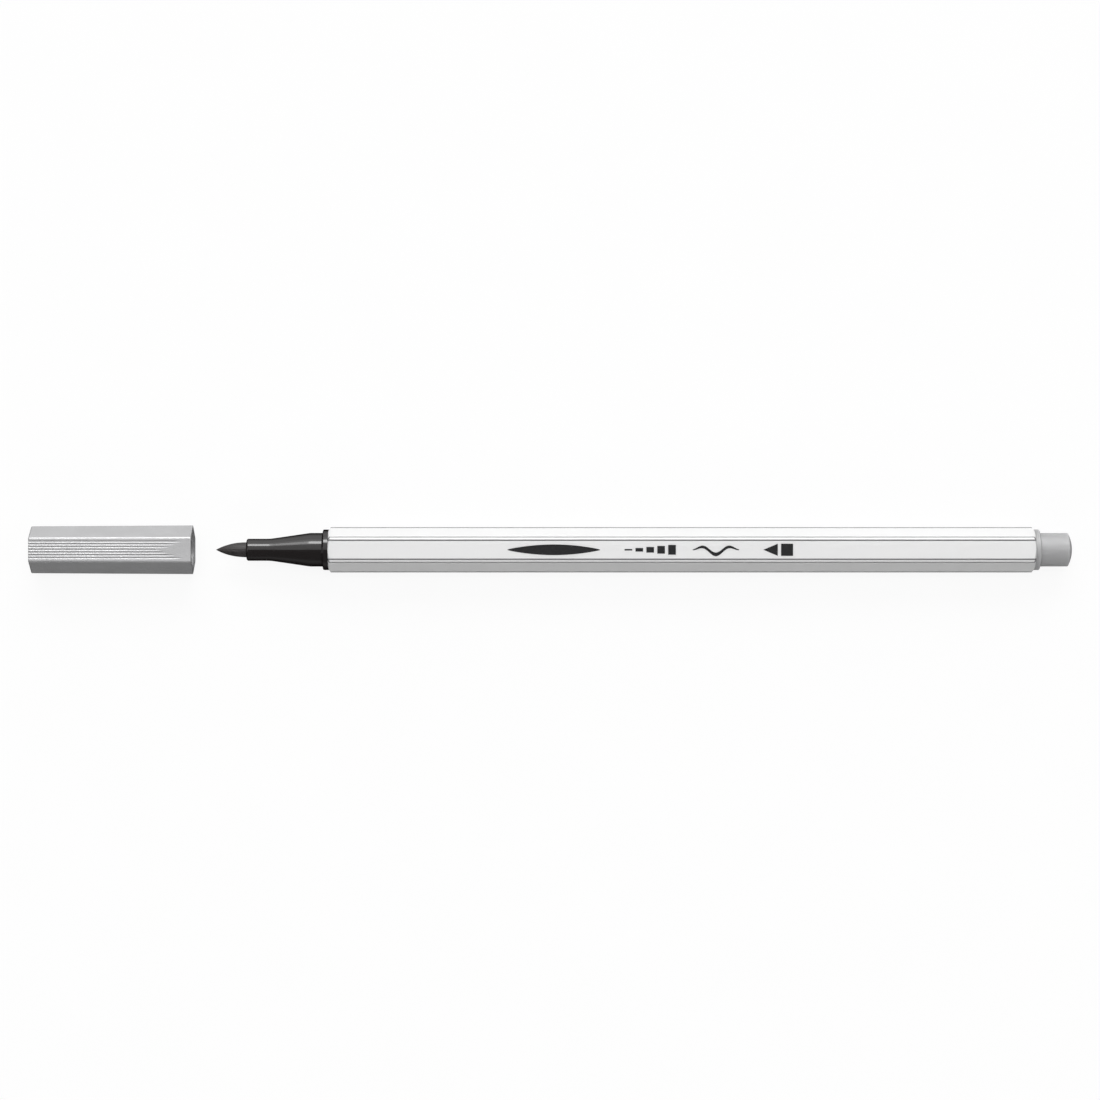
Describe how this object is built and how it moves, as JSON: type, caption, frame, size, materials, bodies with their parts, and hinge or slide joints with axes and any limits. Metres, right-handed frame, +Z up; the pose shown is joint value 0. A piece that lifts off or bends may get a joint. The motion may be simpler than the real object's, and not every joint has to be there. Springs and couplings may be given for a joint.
{
  "type": "calligraphy marker",
  "caption": "Hexagonal calligraphy marker with a brush nib in a round tapered holder, a ribbed push-on cap with an inner seal, and a round rear plug.",
  "frame": {"origin": "bottom centre of the marker's bounding box, cap off and in line ahead of the nib", "axes": "+X along the pen from the nib towards the rear plug, +Z up off the table, Y across"},
  "size_m": [0.192, 0.009, 0.0079],
  "materials": {
    "grey_plastic": "satin",
    "seal_plastic": "satin",
    "nib_fibre": "matt, ink soaked",
    "black_plastic": "gloss",
    "white_plastic": "gloss",
    "reservoir_fibre": "matt, ink soaked",
    "film": "clear film",
    "tube_plastic": "satin",
    "plug_plastic": "satin"
  },
  "bodies": {
    "pen": {"barrel": "white_plastic", "nib_holder": "black_plastic", "ink_reservoir": "reservoir_fibre", "reservoir_film": "film", "breather_tube": "tube_plastic", "rear_plug": "plug_plastic"},
    "nib": {"brush_nib": "nib_fibre"},
    "cap": {"cap_shell": "grey_plastic", "inner_cap": "seal_plastic"}
  },
  "joints": [
    {"name": "cap_slide", "type": "slide", "parent": "pen", "child": "cap", "axis": [1, 0, 0], "range_m": [0, 0.02395]},
    {"name": "nib_flex", "type": "hinge", "parent": "pen", "child": "nib", "pos_m": [-0.0562, 0, 0.00395], "axis": [0, 1, 0], "range_deg": [-20, 20], "stiffness_Nm_per_rad": 0.004, "deforming": ["brush_nib"]}
  ]
}
